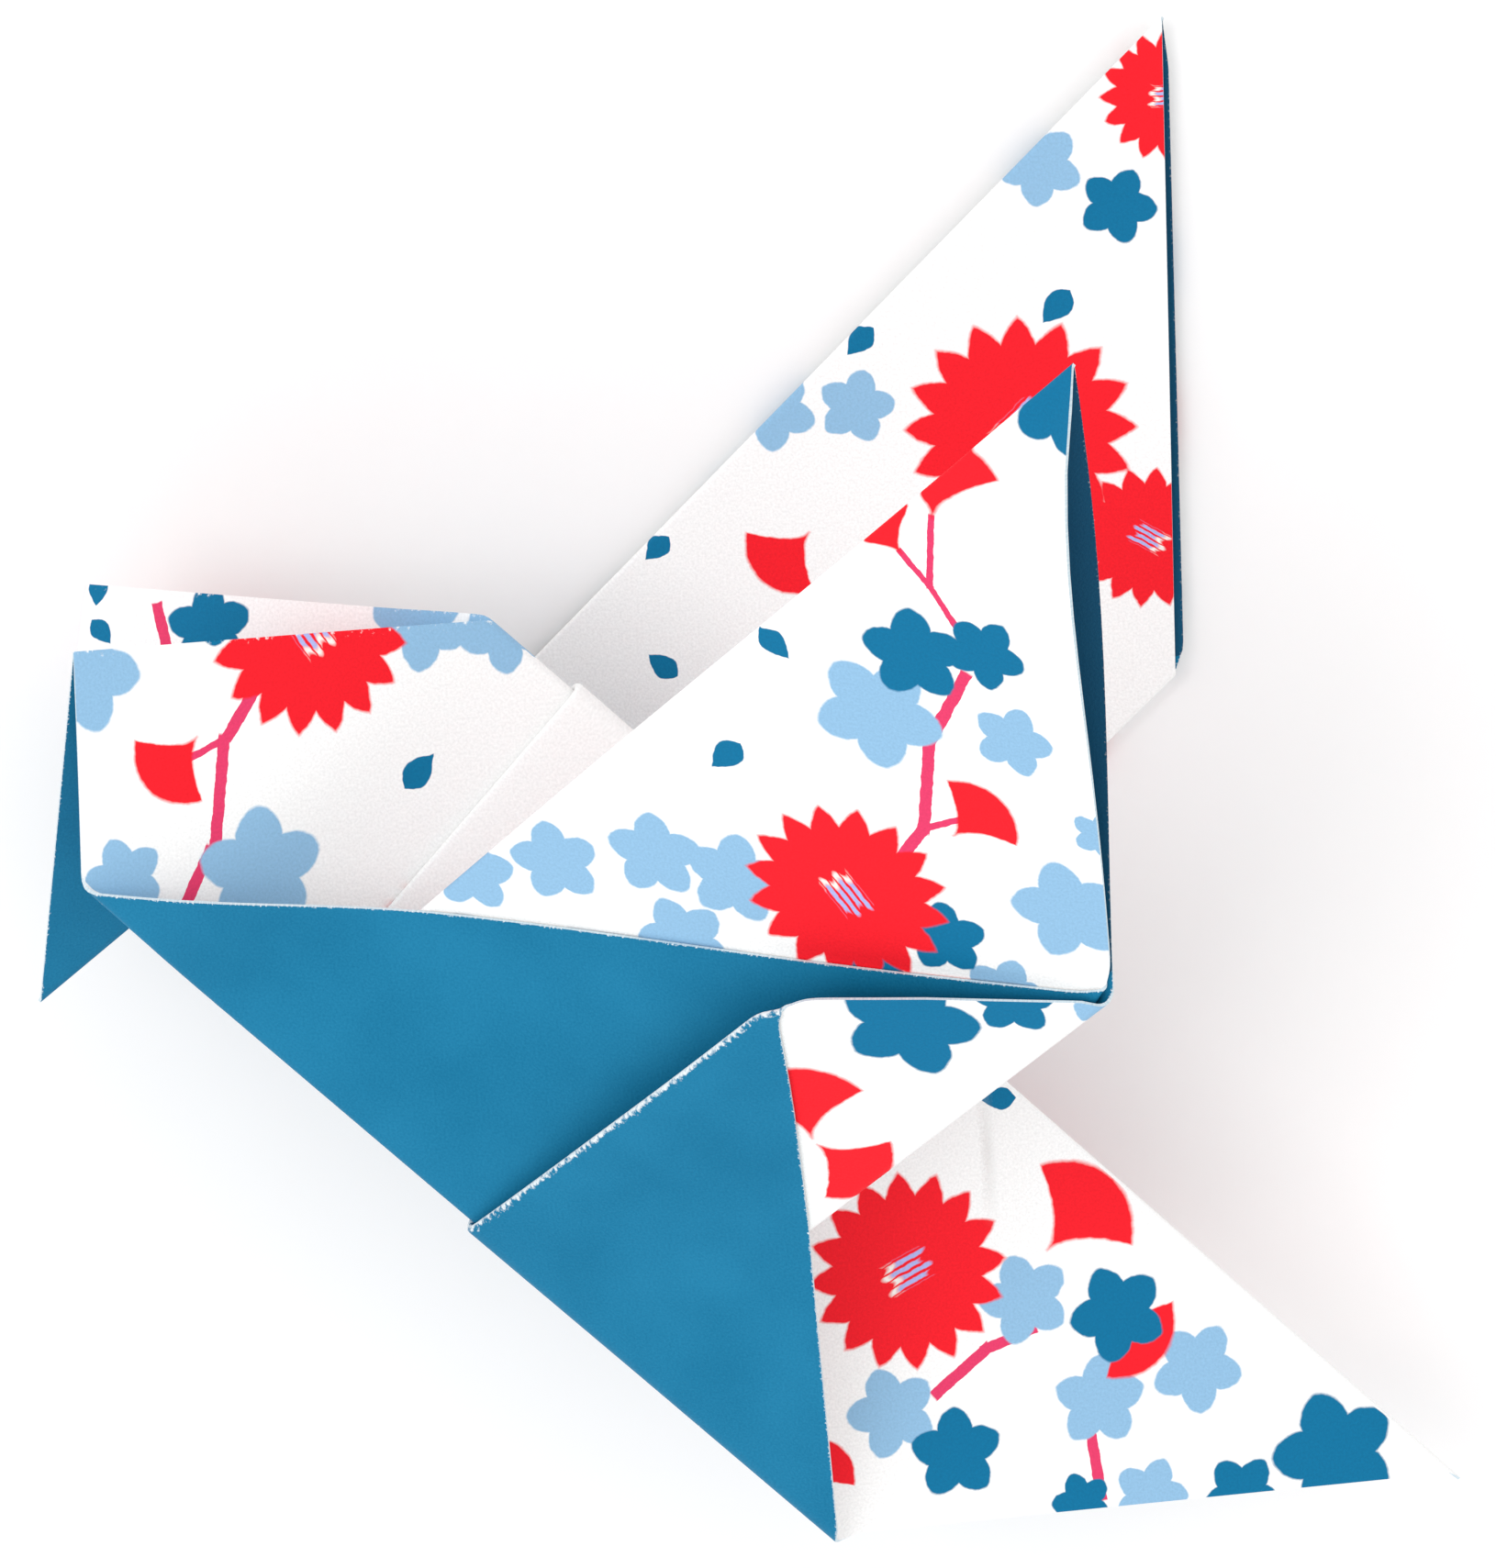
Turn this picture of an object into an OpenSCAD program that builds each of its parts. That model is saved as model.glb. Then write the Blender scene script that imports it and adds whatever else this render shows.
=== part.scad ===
// Folded paper bird with raised wings, made from one square sheet without a cut.
// It lies on its far wing, with its back along X: the head points to -X and the tail to +X.
// A point of the flat sheet is [u, v], measured along the two diagonals. Every main crease
// runs along one of them, so the sheet is first folded across u and then across v.

/* [Sheet] */
// Side of the square sheet
sheet_side = 150; // [120:1:180]
// Thickness of the paper
paper_t = 0.2; // [0.1:0.05:0.3]
// Air between layers that lie on each other
layer_gap = 0.1; // [0.05:0.05:0.2]

/* [Creases] */
// From the first diagonal fold to the crease that turns both layers forward
cross_crease = 30.6; // [26:0.1:34]
// From the first diagonal fold to the crease that turns the rear layer back as the tail
tail_crease = 17; // [12:0.5:24]
// From the back to the keel crease where a wing turns up
keel_crease = 29.2; // [26:0.1:34]
// Length of the front corner that is pushed in between the walls as the beak
beak_len = 38.3; // [30:0.1:44]

/* [Opening of the folds] */
// Angle between the far wing and the far body wall
far_wing_angle = 33.7; // [25:0.1:45]
// Angle between the two body walls at the back
back_angle = 53; // [40:0.5:65]
// Angle between the near body wall and the near wing
near_wing_angle = 39.3; // [30:0.1:50]
// Turn of the head about the back, along the beak's crease
head_turn = 15; // [0:1:18]
// Length of the neck, in which the head's turn comes in
neck_len = 12; // [8:0.5:16]
// Turn of the beak about the back, which the head's turn brings with it
beak_turn = 10; // [0:1:12]

/* [Spring of the paper] */
// Widest gap between the two layers at the rear edge of the near wing
near_wing_gap = 2; // [0:0.1:3]
// Widest gap between the two layers at the rear edge of the far wing
far_wing_gap = 0.6; // [0:0.1:3]
// Height of the tail crease above the near wing, at the crease's free end
tail_lift = 2.8; // [0:0.1:4]

/* [Hidden] */

// Segments in each rolled crease, an even count so that a line runs along its middle
crease_segments = 6;
// Lines that follow the gentle curves of a wing, of the head and of the other runs
wing_lines = 9;
head_lines = 5;
run_lines = 4;

half_diagonal = sheet_side / sqrt(2);
layer_pitch = paper_t + layer_gap;
half_t = paper_t / 2;
// Sheet places closer than this count as the same
snap = 0.00001;

// The outer of two nested folds has to pass round the inner one
outer_cross = cross_crease + layer_pitch * PI / 2;
tail_fold = 2 * outer_cross - tail_crease;
beak_start = half_diagonal - beak_len;
beak_side = beak_len / 2;
// From the wings' front fold to the point where the beak's crease meets the back
crease_ahead = beak_start - 2 * cross_crease;

// Runs of the sheet between the u creases, in order from the tail corner to the head corner:
// tail flap, turned rear layer, inner wing layer, outer wing layer and head layer
creases = [-tail_fold, -outer_cross, 0, cross_crease];
run_start = [tail_crease - tail_fold, 2 * outer_cross, 0, 0, 2 * cross_crease];
run_way = [-1, 1, -1, 1, -1];
run_level = [2, 1, -2, -1, 0];

// The middle layer's crease radius across the body lets the innermost layer turn freely
roll_r = 2 * layer_pitch + half_t + layer_gap / 2;

// Directions in the YZ plane, away from the back, and down between the walls
far_wall_way = 180 + far_wing_angle;
near_wall_way = far_wall_way - back_angle;
near_wing_way = near_wall_way - 180 + near_wing_angle;
down_way = (far_wall_way + near_wall_way) / 2;

function limit(x, low, high) = max(low, min(high, x));
function unit(a) = a / norm(a);
function roll(i) = abs(run_level[i + 1] - run_level[i]) * layer_pitch / 2;
function run_of(u) = len([for (crease = creases) if (crease <= u) crease]);
function crease_at(u) =
    [for (i = [0 : len(creases) - 1]) if (abs(u - creases[i]) < roll(i) * PI / 2) i];

// Place in the flat stack for sheet position u: [X, level, normal in X, normal in level].
// The normal is the printed side's.
function stack(u) = len(crease_at(u)) > 0 ? rolled(u, crease_at(u)[0]) : straight(u, run_of(u));
function straight(u, k) = [run_start[k] + run_way[k] * u, run_level[k] * layer_pitch, 0, run_way[k]];
function rolled(u, i) =
    let (
        r = roll(i),
        turn = 90 + (u - creases[i]) / r * 180 / PI,
        from = run_start[i] + run_way[i] * (creases[i] - r * PI / 2),
        rise = sign(run_level[i + 1] - run_level[i]),
        middle = (run_level[i + 1] + run_level[i]) / 2 * layer_pitch
    )
    [from + run_way[i] * r * sin(turn), middle - rise * r * cos(turn),
     -rise * sin(turn), run_way[i] * cos(turn)];

// Extra level where the paper springs open on a wing
function spring(u, v, x) =
    abs(v) <= keel_crease ? 0
    : u < -outer_cross ? (v > 0 ? tail_spring(v, x) : 0)
    : u < 0 ? -wing_spring(v, x)
    : 0;
function tail_spring(v, x) =
    let (
        along = limit((outer_cross - x) / (outer_cross - tail_crease), 0, 1),
        up = (abs(v) - keel_crease) / (half_diagonal - tail_fold - keel_crease)
    )
    tail_lift * along * sin(90 * limit(up, 0, 1));
function wing_spring(v, x) =
    let (
        up = limit((abs(v) - half_diagonal + cross_crease) / cross_crease, 0, 1),
        across = limit(x / max(half_diagonal - abs(v), layer_pitch), 0, 1)
    )
    (v > 0 ? near_wing_gap : far_wing_gap) * 4 * up * (1 - up) * pow(across, 2);

// The head's walls turn about the back: fully along the beak's crease, less towards the keel behind it
function ease(x) = let (f = limit(x, 0, 1)) f * f * (3 - 2 * f);
function twist(x, far) =
    let (share = (keel_crease - x - min(far, keel_crease)) / (keel_crease + crease_ahead))
    head_turn * ease(-x / neck_len) * limit(share, 0, 1);

// Directions along one half of the body's section: [at the back, wall, wing]
function ways(side, turn) = side > 0
    ? [down_way - 90 - turn, near_wall_way - turn, near_wing_way]
    : [down_way + 90 - 360 - turn, far_wall_way - 360 - turn, 0];

function back_roll() = roll_r * (180 - back_angle) / 2 * PI / 180;
function keel_roll(side) =
    roll_r * (180 - (side > 0 ? near_wing_angle : far_wing_angle)) / 2 * PI / 180;

function heading(a) = [cos(a), sin(a)];
function arc_step(way0, way1, r) =
    sign(way1 - way0) * r * [sin(way1) - sin(way0), cos(way0) - cos(way1)];

// Point and direction of the middle layer at a distance from the back: [Y, Z, direction]
function section(side, far, x) =
    let (
        w = ways(side, twist(x, far)),
        b = back_roll(),
        k = abs(w[2] - w[1]) / 2 * roll_r * PI / 180,
        wall_from = arc_step(w[0], w[1], roll_r),
        keel_from = wall_from + (keel_crease - k - b) * heading(w[1]),
        wing_from = keel_from + arc_step(w[1], w[2], roll_r),
        way = far < b ? w[0] + (w[1] - w[0]) * far / b
            : far < keel_crease - k ? w[1]
            : far < keel_crease + k ? w[1] + (w[2] - w[1]) * (far - keel_crease + k) / (2 * k)
            : w[2],
        p = far < b ? arc_step(w[0], way, roll_r)
            : far < keel_crease - k ? wall_from + (far - b) * heading(w[1])
            : far < keel_crease + k ? keel_from + arc_step(w[1], way, roll_r)
            : wing_from + (far - keel_crease - k) * heading(w[2])
    )
    [p[0], p[1], way];

// Folded place of the sheet point [u, v], moved off the middle of the paper by lift
function folded(u, v, lift) =
    let (
        side = v < 0 ? -1 : 1,
        s = stack(u),
        q = section(side, abs(v), s[0]),
        level = s[1] + spring(u, v, s[0]) + lift * s[3],
        out = heading(q[2] + side * 90)
    )
    [s[0] + lift * s[2], q[0] + level * out[0], q[1] + level * out[1]];

// The beak: the corner beyond its crease turns down between the walls. Its two halves are flat and meet
// at an edge that is rolled like the back at its root and folded sharp at its tip. A mirror of the walls
// in the crease gives its direction.
half_back = back_angle / 2;
beak_ahead = -pow(sin(half_back), 2) / (1 + pow(cos(half_back), 2));
beak_down = 2 * cos(half_back) / (1 + pow(cos(half_back), 2));
beak_mid = [0, cos(down_way - beak_turn), sin(down_way - beak_turn)];
beak_across = [0, cos(down_way - beak_turn - 90), sin(down_way - beak_turn - 90)];
beak_axis = beak_ahead * [1, 0, 0] + beak_down * beak_mid;
beak_front = cross(beak_axis, beak_across);

function crease_point(v) = folded(beak_start + abs(v), v, 0);
// Half the angle between the beak's halves, from where the crease meets the head's front edge
beak_half_way = let (g = crease_point(beak_side) - crease_point(0), across = g * beak_across)
    atan2(across, g * beak_front);
tip_turn = 90 - beak_half_way;
tip_roll = 2 * back_roll() / crease_segments;
function tip_way(turn, side) = side * cos(turn) * beak_across + sin(turn) * beak_front;
function beak_edge(v) =
    let (
        bent = min(abs(v), tip_roll),
        turn = bent / tip_roll * tip_turn,
        r = tip_roll / (tip_turn * PI / 180)
    )
    r * (sign(v) * sin(turn) * beak_across + (1 - cos(turn)) * beak_front)
        + (abs(v) - bent) * tip_way(tip_turn, sign(v));
// Places on the beak's cut edge, from one end of its rolled edge to the other
function beak_cut(v) = crease_point(0) + (beak_len - abs(v)) * beak_axis + beak_edge(v);

function wall_normal(u, v) = unit(folded(u, v, 1) - folded(u, v, 0));
function beak_normal(v0, v1, v) =
    let (outward = beak_cut(limit(v, -back_roll(), back_roll())) - crease_point(v))
    unit(cross(outward, crease_point(v1) - crease_point(v0)));
function cut_normal(v0, v1) = unit(cross(beak_axis, beak_edge(v1) - beak_edge(v0)));

// Least value of the mitre's divisor: large across the rolled back, where the cells are small
back_mitre = 0.9;
crease_mitre = 0.04;
function mitre(a, b, least) = (a + b) / max(1 + a * b, least);

// Skin points: on the beak's crease the two sides are mitred
function same(a, b) = abs(a - b) < snap;
function in_back(v) = abs(v) < back_roll() + snap;
function on_beak_crease(u, v) = u > beak_start - snap && same(u - abs(v), beak_start);
function on_beak_cut(u, v) = in_back(v) && same(u + abs(v), half_diagonal);
function beak_line(v) = [for (k = [0 : len(beak_v) - 1]) if (same(beak_v[k], v)) k][0];
function beak_crease_skin(v, lift) =
    let (
        i = beak_line(v),
        v0 = beak_v[max(i - 1, 0)],
        v1 = beak_v[min(i + 1, len(beak_v) - 1)]
    )
    crease_point(v) + lift * mitre(
        wall_normal(beak_start + abs(v), v), beak_normal(v0, v1, v),
        in_back(v) ? back_mitre : crease_mitre);
function beak_cut_skin(v, lift) =
    let (
        i = beak_line(v),
        v0 = same(v, -back_roll()) ? v : beak_v[i - 1],
        v1 = same(v, back_roll()) ? v : beak_v[i + 1]
    )
    beak_cut(v) + lift * cut_normal(v0, v1);
function skin(p, lift) =
    on_beak_crease(p[0], p[1]) ? beak_crease_skin(p[1], lift)
    : on_beak_cut(p[0], p[1]) ? beak_cut_skin(p[1], lift)
    : folded(p[0], p[1], lift);

// Lines across the sheet
function spread(from, to, count) = [for (i = [1 : count]) from + (to - from) * i / (count + 1)];
function crease_lines(at, half) =
    [for (i = [0 : crease_segments]) at - half + 2 * half * i / crease_segments];
function join(lists) = [for (list = lists) for (x = list) x];

half_back_lines = [for (i = [0 : crease_segments / 2]) back_roll() * 2 * i / crease_segments];
function side_lines(side) =
    let (k = keel_roll(side))
    join([
        half_back_lines,
        spread(back_roll(), beak_side, 2),
        [beak_side],
        spread(beak_side, keel_crease - k, 1),
        crease_lines(keel_crease, k),
        spread(keel_crease + k, half_diagonal, wing_lines),
        [half_diagonal]
    ]);
near_lines = side_lines(1);
far_lines = side_lines(-1);
v_lines = join([
    [for (i = [len(far_lines) - 1 : -1 : 1]) -far_lines[i]],
    near_lines
]);
beak_v = [for (v = v_lines) if (abs(v) < beak_side + snap) v];
u_lines = join([
    [-half_diagonal],
    spread(-half_diagonal, creases[0] - roll(0) * PI / 2, run_lines),
    crease_lines(creases[0], roll(0) * PI / 2),
    spread(creases[0] + roll(0) * PI / 2, creases[1] - roll(1) * PI / 2, 2),
    crease_lines(creases[1], roll(1) * PI / 2),
    spread(creases[1] + roll(1) * PI / 2, -roll(2) * PI / 2, run_lines),
    crease_lines(0, roll(2) * PI / 2),
    spread(roll(2) * PI / 2, cross_crease - roll(3) * PI / 2, run_lines),
    crease_lines(cross_crease, roll(3) * PI / 2),
    spread(cross_crease + roll(3) * PI / 2, beak_start, head_lines),
    [for (v = beak_v) if (v >= 0) beak_start + v],
    [half_diagonal]
]);

// Cell between two lines each way, cut to the square and to the beak's crease
function inside_square(p) = abs(p[0]) + abs(p[1]) <= half_diagonal + snap / 10;
function edge_cross(a, b) = a[0] == b[0]
    ? [a[0], (a[1] + b[1] < 0 ? -1 : 1) * (half_diagonal - abs(a[0]))]
    : [(a[0] + b[0] < 0 ? -1 : 1) * (half_diagonal - abs(a[1])), a[1]];
function clean(list) =
    [for (i = [0 : len(list) - 1]) if (norm(list[i] - list[(i + 1) % len(list)]) > snap) list[i]];
function cut_to_square(cell) = len([for (p = cell) if (inside_square(p)) p]) == 0 ? [] : clean([
    for (i = [0 : len(cell) - 1])
        let (a = cell[i], b = cell[(i + 1) % len(cell)], here = inside_square(a), there = inside_square(b))
        each concat(here ? [a] : [], here != there ? [edge_cross(a, b)] : [])
]);
function in_beak(p) = p[0] - abs(p[1]) > beak_start + snap;
function cell(i, j) =
    let (
        u0 = u_lines[i],
        u1 = u_lines[i + 1],
        v0 = v_lines[j],
        v1 = v_lines[j + 1],
        corners = [[u0, v0], [u1, v0], [u1, v1], [u0, v1]]
    )
    cut_to_square([for (p = corners) if (!in_beak(p)) p]);
cells = [
    for (i = [0 : len(u_lines) - 2], j = [0 : len(v_lines) - 2])
        let (c = cell(i, j))
        if (len(c) > 2) c
];

// The beak's cells: strips along its rolled edge, and a fan over each flat half
function beak_in(v) = [beak_start + abs(v), v];
function beak_out(v) = [half_diagonal - abs(v), v];
beak_strips = [
    for (k = [0 : len(beak_v) - 2])
        let (v0 = beak_v[k], v1 = beak_v[k + 1])
        if (in_back(v0) && in_back(v1))
            [beak_in(v0), beak_out(v0), beak_out(v1), beak_in(v1)]
];
beak_fans = [
    for (k = [0 : len(beak_v) - 2])
        let (v0 = beak_v[k], v1 = beak_v[k + 1])
        if (!in_back(v0) || !in_back(v1))
            [beak_in(v0), beak_out((v0 < 0 ? -1 : 1) * back_roll()), beak_in(v1)]
];
outlines = concat(cells, beak_strips, beak_fans);
triangles = [for (c = outlines) for (k = [1 : len(c) - 2]) [c[0], c[k], c[k + 1]]];

// The cut edge of the sheet closes the solid between its two faces
function on_cut(p) = same(abs(p[0]) + abs(p[1]), half_diagonal);
function cut_edge(a, b) = on_cut(a) && on_cut(b) && a[0] * b[0] >= 0 && a[1] * b[1] >= 0;
cut_edges = [
    for (c = outlines) for (k = [0 : len(c) - 1])
        if (cut_edge(c[k], c[(k + 1) % len(c)])) [c[k], c[(k + 1) % len(c)]]
];
faces3d = concat(
    [for (t = triangles) [skin(t[0], half_t), skin(t[2], half_t), skin(t[1], half_t)]],
    [for (t = triangles) [skin(t[0], -half_t), skin(t[1], -half_t), skin(t[2], -half_t)]],
    [for (e = cut_edges) [skin(e[0], half_t), skin(e[1], half_t), skin(e[1], -half_t)]],
    [for (e = cut_edges) [skin(e[0], half_t), skin(e[1], -half_t), skin(e[0], -half_t)]]
);
corner_points = join(faces3d);
low = [for (k = [0 : 2]) min([for (p = corner_points) p[k]])];
high = [for (k = [0 : 2]) max([for (p = corner_points) p[k]])];
base_middle = [(low[0] + high[0]) / 2, (low[1] + high[1]) / 2, low[2]];

module folded_sheet() {
    color("#2b7aa3")
        translate(-base_middle)
            polyhedron(
                points = corner_points,
                faces = [for (k = [0 : len(faces3d) - 1]) [3 * k, 3 * k + 1, 3 * k + 2]]
            );
}

folded_sheet();
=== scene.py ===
import math

import bpy
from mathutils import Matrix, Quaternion, Vector


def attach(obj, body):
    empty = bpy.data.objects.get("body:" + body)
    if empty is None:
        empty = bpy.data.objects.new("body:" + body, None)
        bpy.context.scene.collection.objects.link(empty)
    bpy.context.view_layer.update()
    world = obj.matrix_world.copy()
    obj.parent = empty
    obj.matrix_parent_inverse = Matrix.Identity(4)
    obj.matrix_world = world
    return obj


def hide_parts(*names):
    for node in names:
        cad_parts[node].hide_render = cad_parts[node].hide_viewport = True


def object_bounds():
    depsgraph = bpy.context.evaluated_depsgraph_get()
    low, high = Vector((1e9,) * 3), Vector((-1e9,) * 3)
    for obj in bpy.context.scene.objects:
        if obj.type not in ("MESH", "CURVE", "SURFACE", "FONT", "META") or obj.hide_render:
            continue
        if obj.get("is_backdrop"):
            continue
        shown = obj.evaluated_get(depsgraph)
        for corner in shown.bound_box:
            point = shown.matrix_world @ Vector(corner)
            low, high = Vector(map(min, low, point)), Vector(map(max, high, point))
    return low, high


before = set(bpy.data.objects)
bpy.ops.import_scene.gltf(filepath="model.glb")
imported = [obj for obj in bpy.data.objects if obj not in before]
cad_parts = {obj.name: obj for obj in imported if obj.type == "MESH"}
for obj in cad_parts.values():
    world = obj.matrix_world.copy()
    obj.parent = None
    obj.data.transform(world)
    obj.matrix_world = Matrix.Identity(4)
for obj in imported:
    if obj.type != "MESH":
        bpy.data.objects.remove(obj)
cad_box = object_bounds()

# The sheet: one square of thin paper, white with a flower print on one face and plain blue on the other.
# It is drawn flat, in millimetres, with u and v along its two diagonals, and is scored along every crease
# and along the lines that the paper's gentle curves need.
sheet_side = 150
paper_t = 0.2
layer_gap = 0.1
cross_crease = 30.6
tail_crease = 17
keel_crease = 29.2
beak_len = 38.3

half_diagonal = sheet_side / math.sqrt(2)
layer_pitch = paper_t + layer_gap
outer_cross = cross_crease + layer_pitch * math.pi / 2
tail_fold = 2 * outer_cross - tail_crease
beak_start = half_diagonal - beak_len
wing_corner = half_diagonal - cross_crease
tail_corner = half_diagonal - tail_fold

# Creases across u, and the runs of paper between them: tail flap, turned rear layer, inner wing layer,
# outer wing layer and head layer. Each run has its way along the back and its level in the stack.
creases = [-tail_fold, -outer_cross, 0, cross_crease]
run_start = [tail_crease - tail_fold, 2 * outer_cross, 0, 0, 2 * cross_crease]
run_way = [-1, 1, -1, 1, -1]
run_level = [2, 1, -2, -1, 0]
roll = [abs(run_level[i + 1] - run_level[i]) * layer_pitch / 2 for i in range(len(creases))]
back_r = 2 * layer_pitch + paper_t / 2 + layer_gap / 2

far_wing_angle = 33.7
back_angle = 53
near_wing_angle = 39.3
back_roll = back_r * math.radians(180 - back_angle) / 2
keel_roll = back_r * math.radians(180 - far_wing_angle) / 2

line_step = 2.2
crease_steps = 6


def score_lines(stops, rolls):
    """Line places from the first stop to the last: fine through each roll, even between."""
    places = []
    for i, (stop, r) in enumerate(zip(stops, rolls)):
        if r:
            places += [stop - r + 2 * r * k / crease_steps for k in range(crease_steps + 1)]
        if i + 1 < len(stops):
            start, end = stop + r, stops[i + 1] - rolls[i + 1]
            count = round((end - start) / line_step)
            places += [start + (end - start) * k / count for k in range(1, count)]
    return places


u_lines = score_lines(
    [-half_diagonal] + creases + [beak_start, half_diagonal],
    [0] + [r * math.pi / 2 for r in roll] + [0, 0],
) + [beak_start]
v_lines = score_lines(
    [-half_diagonal, -keel_crease, 0, keel_crease, half_diagonal],
    [0, keel_roll, back_roll, keel_roll, 0],
)
# Closer lines round the free ends of the folds, which are soft
end_step = 0.45
beside_step = 0.6
v_lines += [end + end_step * k for end in (-wing_corner, wing_corner, tail_corner) for k in range(-5, 6)]
u_lines += [crease + beside_step * k for crease in creases for k in (-3, -2, -1, 1, 2, 3)]

bpy.ops.object.select_all(action="DESELECT")
bpy.ops.mesh.primitive_plane_add(size=sheet_side)
paper = bpy.context.object
paper.name = "folded_paper"
paper.data.name = "folded_paper"
paper.rotation_euler.z = math.radians(45)
bpy.ops.object.transform_apply(rotation=True)

bpy.ops.object.mode_set(mode="EDIT")
for u in u_lines:
    bpy.ops.mesh.select_all(action="SELECT")
    bpy.ops.mesh.bisect(plane_co=(u, 0, 0), plane_no=(1, 0, 0))
for v in v_lines:
    bpy.ops.mesh.select_all(action="SELECT")
    bpy.ops.mesh.bisect(plane_co=(0, v, 0), plane_no=(0, 1, 0))
bpy.ops.object.mode_set(mode="OBJECT")

# The beak's crease runs back from the head's front edges to the back, at 45 degrees to it
bpy.context.tool_settings.mesh_select_mode = (False, False, True)
for side in (-1, 1):
    for face in paper.data.polygons:
        face.select = face.center.x > beak_start - line_step and face.center.y * side > 0
    bpy.ops.object.mode_set(mode="EDIT")
    bpy.ops.mesh.bisect(plane_co=(beak_start, 0, 0), plane_no=(1, -side, 0))
    bpy.ops.object.mode_set(mode="OBJECT")
flat_middles = [face.center.copy() for face in paper.data.polygons]

# The folding: the sheet is folded flat across u, then opened across v into the wings and the body's two
# walls, with every crease rolled round the layers inside it. Angles are directions in the YZ plane.
head_turn = 15
beak_turn = 10
neck_len = 12
beak_side = beak_len / 2
crease_ahead = beak_start - 2 * cross_crease
far_wall_way = 180 + far_wing_angle
near_wall_way = far_wall_way - back_angle
near_wing_way = near_wall_way - 180 + near_wing_angle
down_way = (far_wall_way + near_wall_way) / 2


def limit(x):
    return max(0.0, min(1.0, x))


def ease(x):
    return limit(x) ** 2 * (3 - 2 * limit(x))


def heading(angle):
    return Vector((0, math.cos(math.radians(angle)), math.sin(math.radians(angle))))


def arc_step(way0, way1):
    side = math.copysign(back_r, way1 - way0)
    return side * (heading(way1 - 90) - heading(way0 - 90))


def stack_place(u):
    """Place of sheet line u in the flat stack: distance along the back and level."""
    for i, crease in enumerate(creases):
        r = roll[i]
        if abs(u - crease) < r * math.pi / 2:
            turn = math.pi / 2 + (u - crease) / r
            start = run_start[i] + run_way[i] * (crease - r * math.pi / 2)
            rise = math.copysign(1, run_level[i + 1] - run_level[i])
            middle = (run_level[i + 1] + run_level[i]) / 2 * layer_pitch
            return start + run_way[i] * r * math.sin(turn), middle - rise * r * math.cos(turn)
    k = sum(crease <= u for crease in creases)
    return run_start[k] + run_way[k] * u, run_level[k] * layer_pitch


# Soft forms of the wings: how far the layers spring apart, and where along the wing they do so most
tail_lift = 2.8
far_wing_gap = 0.6
near_wing_gap = 2.4
near_wing_bulge = 2.6
gap_lean = 1.3
bulge_lean = 1.8


def spring(u, v, x):
    """Extra level where the paper springs open on a wing."""
    far = abs(v)
    if far <= keel_crease:
        return 0
    if u < -outer_cross:
        along = limit((outer_cross - x) / (outer_cross - tail_crease))
        up = limit((far - keel_crease) / (tail_corner - keel_crease))
        return tail_lift * along * math.sin(math.pi / 2 * up) if v > 0 else 0
    if u < cross_crease:
        up = limit((far - wing_corner) / cross_crease)
        across = limit(x / max(half_diagonal - far, layer_pitch))
        if v < 0:
            return -far_wing_gap * 4 * up * (1 - up) * across ** 2 if u < 0 else 0
        if u < 0:
            return -near_wing_gap * math.sin(math.pi * up ** gap_lean) * across ** 2
        return near_wing_bulge * math.sin(math.pi * up ** bulge_lean) * across ** 2
    return 0


near_wing_dent = 1.4
dent_width = 15
dent_rise = 17
dent_fade_from = 55
dent_fade = 40


def wing_dent(v, x):
    """All layers of the near wing bend in together beside the neck."""
    height = ease((v - keel_crease) / dent_rise) * (1 - ease((v - dent_fade_from) / dent_fade))
    return -near_wing_dent * height * math.exp(-(x / dent_width) ** 2)


far_wing_slip = 0.8
slip_taper = 0.4
slip_start = 1.5
slip_front = 2
shortest_span = 4
blunt_wing_end = 0.5
blunt_tail_end = 0.75
blunt_beside = 2.4
blunt_along = 1.2


def blunted(beside, along):
    """How blunt a fold is near its free end: 1 at the end itself, falling to 0 around it."""
    return limit(1 - beside / blunt_beside) * math.exp(-(along / blunt_along) ** 2)


def slipped(u, v, x):
    """The far wing's outer layer shows beside the inner one, and two folds on the near wing end soft."""
    if v < 0 and 0 < u < cross_crease:
        wide = far_wing_slip * (1 - slip_taper * limit((-v - wing_corner) / cross_crease))
        x += wide * limit((-v - wing_corner) / slip_start) * limit(x / slip_front)
    if v > 0 and 0 < u < cross_crease:
        # A layer that bulges out draws its free edge in
        x -= spring(u, v, x) ** 2 / (2 * max(x, shortest_span))
    if u > 0:
        x -= blunt_wing_end * blunted(cross_crease - x, v - wing_corner)
    if u < -outer_cross:
        x += blunt_tail_end * blunted(x - tail_crease, v - tail_corner)
    return x


rear_slip = 0.6
rear_slip_len = 6
rear_slip_from = 45
rear_slip_rise = 15


def rear_shift(u, v, x):
    """The tail flap and the turned rear layer have slipped up a little on the near side."""
    if u >= -outer_cross or v <= 0:
        return 0
    beyond_fold = limit((-outer_cross - u) / slip_start)
    beyond_tail = limit((x - tail_crease) / rear_slip_len)
    return rear_slip * beyond_fold * beyond_tail * limit((v - rear_slip_from) / rear_slip_rise)


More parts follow.
